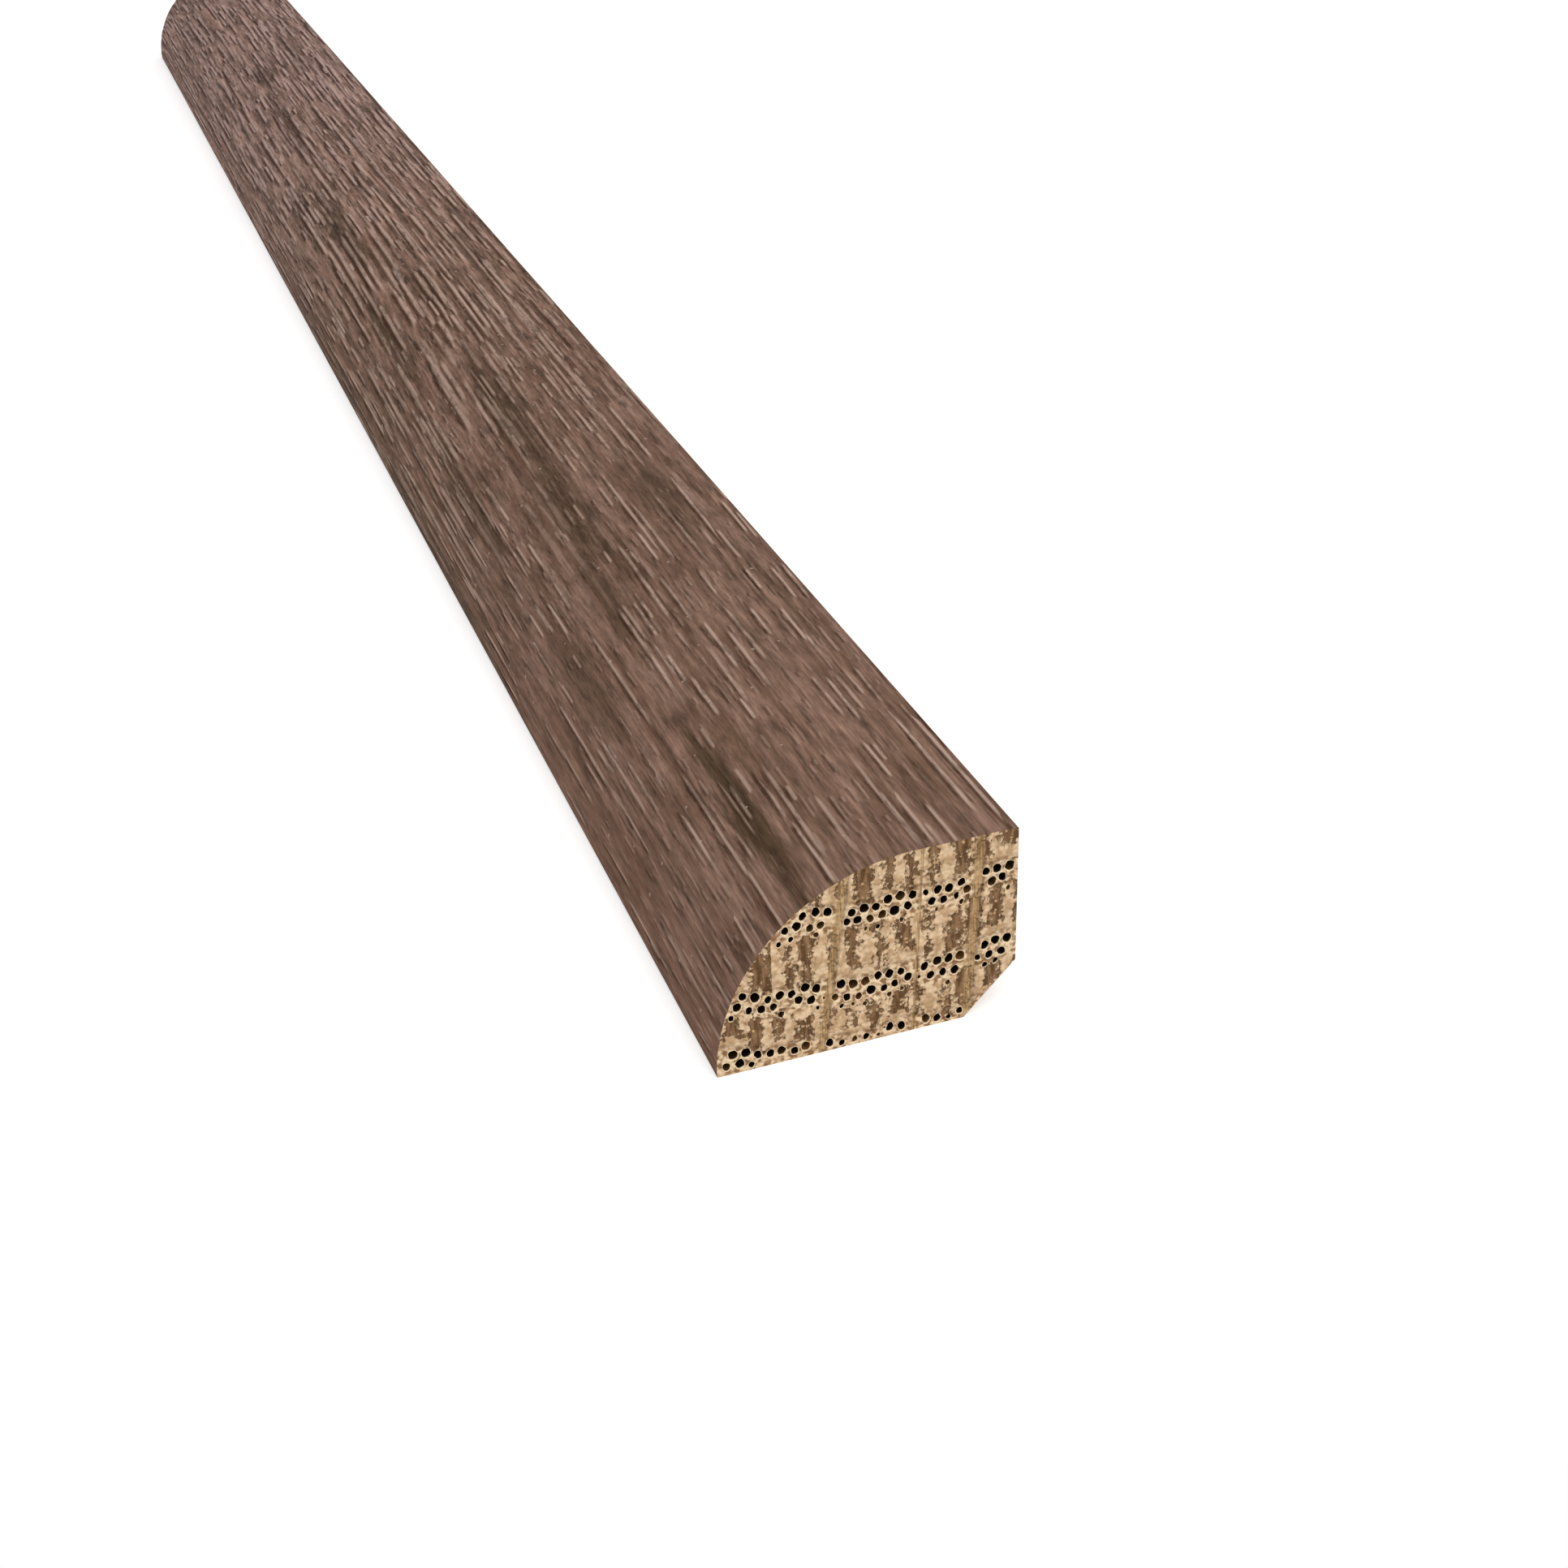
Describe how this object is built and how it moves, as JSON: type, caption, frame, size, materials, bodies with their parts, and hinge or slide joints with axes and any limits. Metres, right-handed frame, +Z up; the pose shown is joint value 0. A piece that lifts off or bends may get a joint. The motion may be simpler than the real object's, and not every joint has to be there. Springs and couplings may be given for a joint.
{
  "type": "shoe moulding",
  "caption": "Straight stick of stained oak trim with a quarter-round front, a flat land and a bevelled back corner, to cover the joint between a skirting board and the floor.",
  "frame": {"origin": "mid-length, in the middle of the stick's width, on the wall face that it lies on", "axes": "+X across the stick from the toe to the floor face, +Y along the grain, +Z up from the wall face"},
  "size_m": [0.019, 0.3048, 0.0127],
  "materials": {
    "stained_oak": "dark brown stain under a satin clear coat on the round and the land, bare sawn wood on the ends"
  },
  "bodies": {
    "root": {"shoe_moulding": "stained_oak"}
  },
  "joints": []
}
